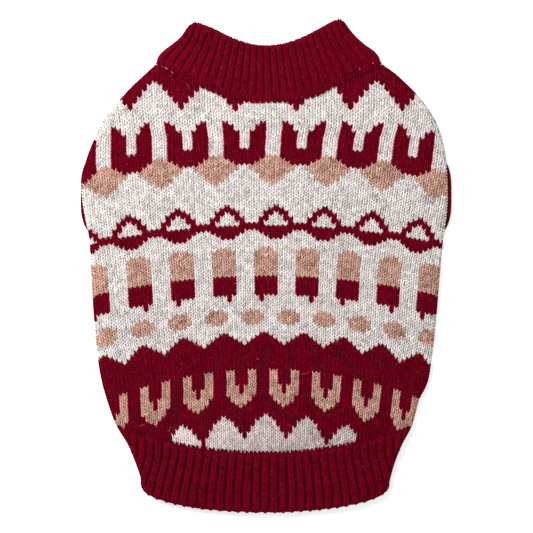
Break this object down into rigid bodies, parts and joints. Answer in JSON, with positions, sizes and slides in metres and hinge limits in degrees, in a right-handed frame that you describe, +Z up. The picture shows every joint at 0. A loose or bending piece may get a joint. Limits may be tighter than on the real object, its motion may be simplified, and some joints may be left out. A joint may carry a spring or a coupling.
{
  "type": "cat sweater",
  "caption": "Knitted cat sweater laid flat with its back up: banded colourwork body, ribbed collar and hem, and a ribbed cuff round each leg hole.",
  "frame": {"origin": "on the table, under the middle of the garment's bounding box", "axes": "+Y from hem to collar along the back, +X to the right seen from above, +Z up from the table through the back panel"},
  "size_m": [0.212, 0.2805, 0.0065],
  "materials": {
    "white_yarn": "matt brushed knit",
    "crimson_yarn": "matt brushed knit",
    "beige_yarn": "matt brushed knit"
  },
  "bodies": {
    "root": {"back_panel": "white_yarn", "belly_panel": "white_yarn", "collar": "crimson_yarn", "hem_rib": "crimson_yarn", "leg_cuff_left": "crimson_yarn", "leg_cuff_right": "crimson_yarn"}
  },
  "joints": []
}
